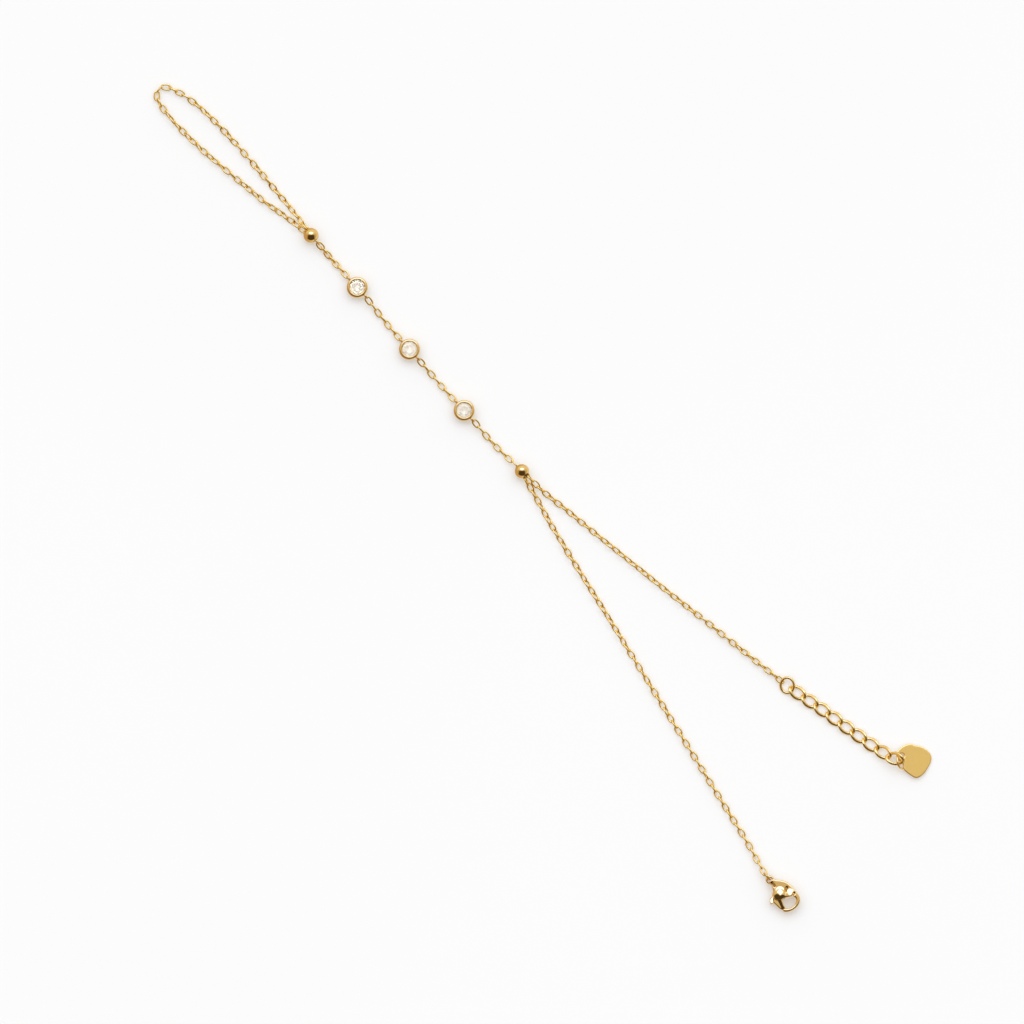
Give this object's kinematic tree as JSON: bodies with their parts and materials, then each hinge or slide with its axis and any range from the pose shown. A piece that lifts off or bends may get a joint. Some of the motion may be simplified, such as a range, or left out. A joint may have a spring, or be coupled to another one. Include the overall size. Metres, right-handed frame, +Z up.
{
  "type": "hand chain bracelet",
  "caption": "Hand chain lying flat: finger loop of fine cable chain, stone-set collets and beads down the hand, and a wrist strand with lobster clasp, curb-link extender and tag.",
  "frame": {"origin": "centre of the bounding box's footprint, on the surface that the chain lies on", "axes": "+Y from the clasp and tag ends towards the finger loop, along the hand; +X to the extender's side; +Z up from the surface"},
  "size_m": [0.0428, 0.2034, 0.0029],
  "materials": {
    "chain_gold": "polished gold-coloured wire",
    "polished_gold": "polished gold-coloured metal",
    "flat_gold": "smooth gold-coloured sheet, soft sheen",
    "clear_stone": "clear faceted stone"
  },
  "bodies": {
    "chain": {"finger_loop_chain": "chain_gold", "finger_bead": "polished_gold", "centre_chain_1": "chain_gold", "centre_chain_2": "chain_gold", "centre_chain_3": "chain_gold", "centre_chain_4": "chain_gold", "bezel_1": "polished_gold", "bezel_2": "polished_gold", "bezel_3": "polished_gold", "stone_1": "clear_stone", "stone_2": "clear_stone", "stone_3": "clear_stone", "wrist_bead": "polished_gold", "wrist_chain_clasp": "chain_gold", "wrist_chain_extender": "chain_gold", "clasp_ring": "polished_gold", "clasp_body": "polished_gold", "extender_ring": "polished_gold", "extender_link_1": "polished_gold", "extender_link_2": "polished_gold", "extender_link_3": "polished_gold", "extender_link_4": "polished_gold", "extender_link_5": "polished_gold", "extender_link_6": "polished_gold", "extender_link_7": "polished_gold", "extender_link_8": "polished_gold", "extender_link_9": "polished_gold", "tag_ring": "polished_gold", "tag": "flat_gold"},
    "lever": {"clasp_lever": "polished_gold"}
  },
  "joints": [
    {"name": "clasp_lever_hinge", "type": "hinge", "parent": "chain", "child": "lever", "pos_m": [-0.01926, -0.09757, 0.00125], "axis": [0, 0, 1], "range_deg": [0, 26], "stiffness_Nm_per_rad": 0.006, "springref_deg": -14.32}
  ]
}
